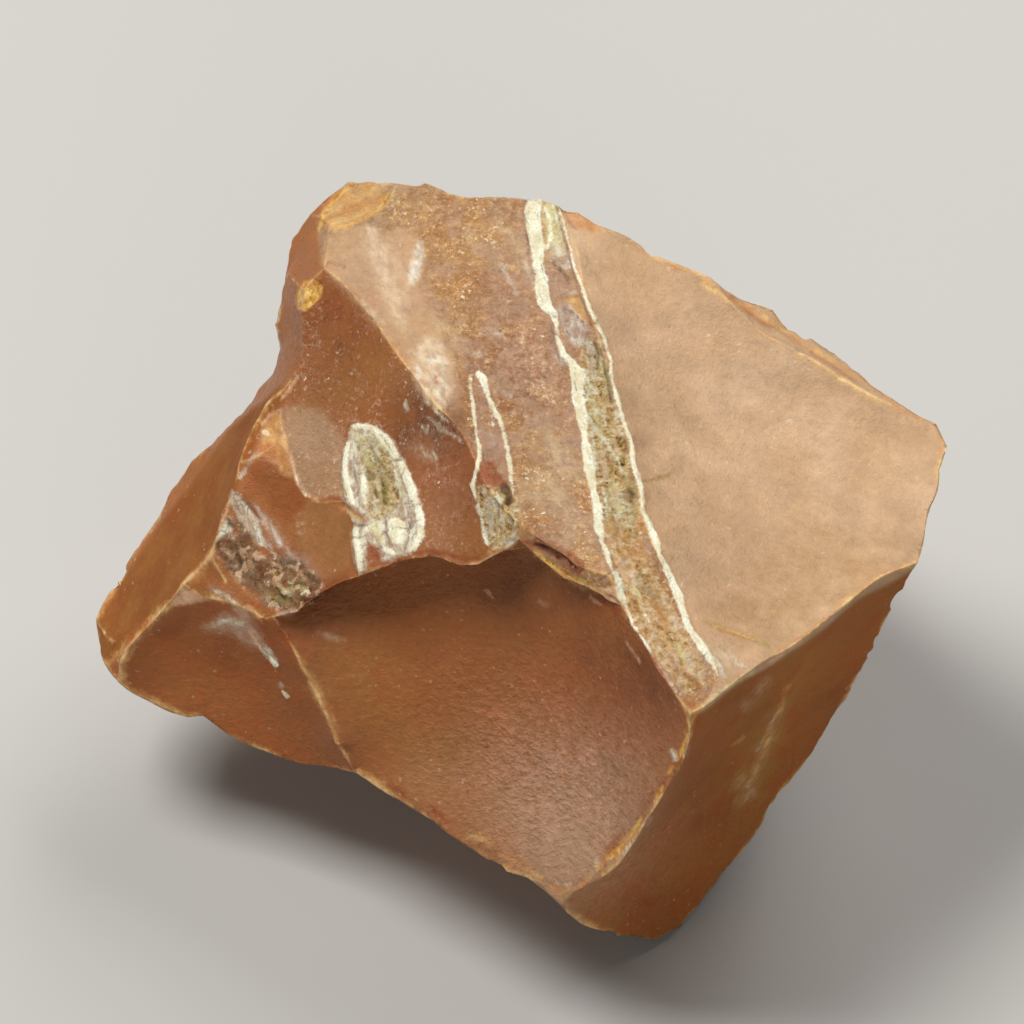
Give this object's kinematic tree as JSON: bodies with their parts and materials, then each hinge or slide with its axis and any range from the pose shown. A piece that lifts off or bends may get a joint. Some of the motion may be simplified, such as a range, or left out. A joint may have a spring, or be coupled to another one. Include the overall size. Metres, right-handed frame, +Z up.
{
  "type": "petrified wood",
  "caption": "Broken block of brown-red petrified wood with curved fracture facets, sharp chipped ridges and cream veins, resting on a small flat spot.",
  "frame": {"origin": "centre of the bounding box in X and Y, at the height of the resting spot", "axes": "+X to the right along the longest side, +Y to the back, +Z up; the facet with the veins looks up and to the front"},
  "size_m": [0.0726, 0.0598, 0.0477],
  "materials": {
    "jasper": "satin where freshly broken, dull and grainy in the veins"
  },
  "bodies": {
    "root": {"petrified_wood": "jasper"}
  },
  "joints": []
}
